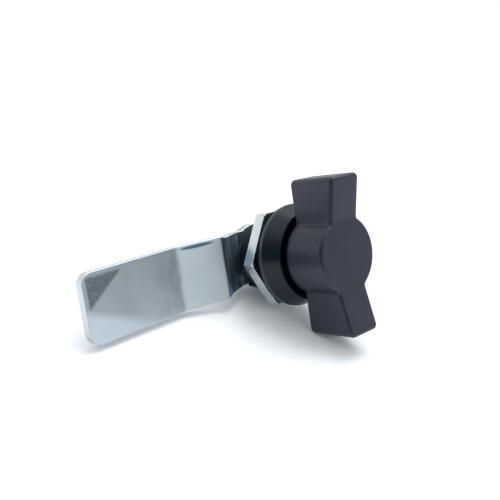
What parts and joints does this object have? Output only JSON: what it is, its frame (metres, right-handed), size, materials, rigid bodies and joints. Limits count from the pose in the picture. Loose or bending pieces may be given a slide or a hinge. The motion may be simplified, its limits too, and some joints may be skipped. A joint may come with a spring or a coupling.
{
  "type": "wing knob cam latch",
  "caption": "Quarter-turn panel latch: a wing-shaped knob turns a long bent cam behind the door; a hexagon nut clamps the housing in its hole.",
  "frame": {"origin": "on the lock axis, in the plane where the gasket meets the door panel", "axes": "+Y along the lock axis from the knob to the cam, +Z along the upper wing, -X along the cam at rest"},
  "size_m": [0.0814, 0.0495, 0.0442],
  "materials": {
    "black_powder_coat": "fine matt texture",
    "black_gloss_coat": "semi-gloss",
    "zinc_plate": "bright zinc plating, slightly mottled",
    "steel": "plain turned steel",
    "rubber": "matt"
  },
  "bodies": {
    "housing": {"housing": "black_gloss_coat", "gasket": "rubber"},
    "turning_set": {"wing_knob": "black_powder_coat", "knob_pin": "steel", "spindle": "steel", "spindle_seal": "rubber", "wave_washer": "steel", "stop_washer": "steel", "cam": "zinc_plate", "flat_washer": "zinc_plate", "lock_washer": "steel", "cam_bolt": "zinc_plate"},
    "mounting_nut": {"hex_nut": "zinc_plate"}
  },
  "joints": [
    {"name": "knob_turn", "type": "hinge", "parent": "housing", "child": "turning_set", "pos_m": [0, 0, 0], "axis": [0, 1, 0], "range_deg": [0, 90]},
    {"name": "nut_travel", "type": "slide", "parent": "housing", "child": "mounting_nut", "axis": [0, 1, 0], "range_m": [-0.0013, 0.0045]}
  ]
}
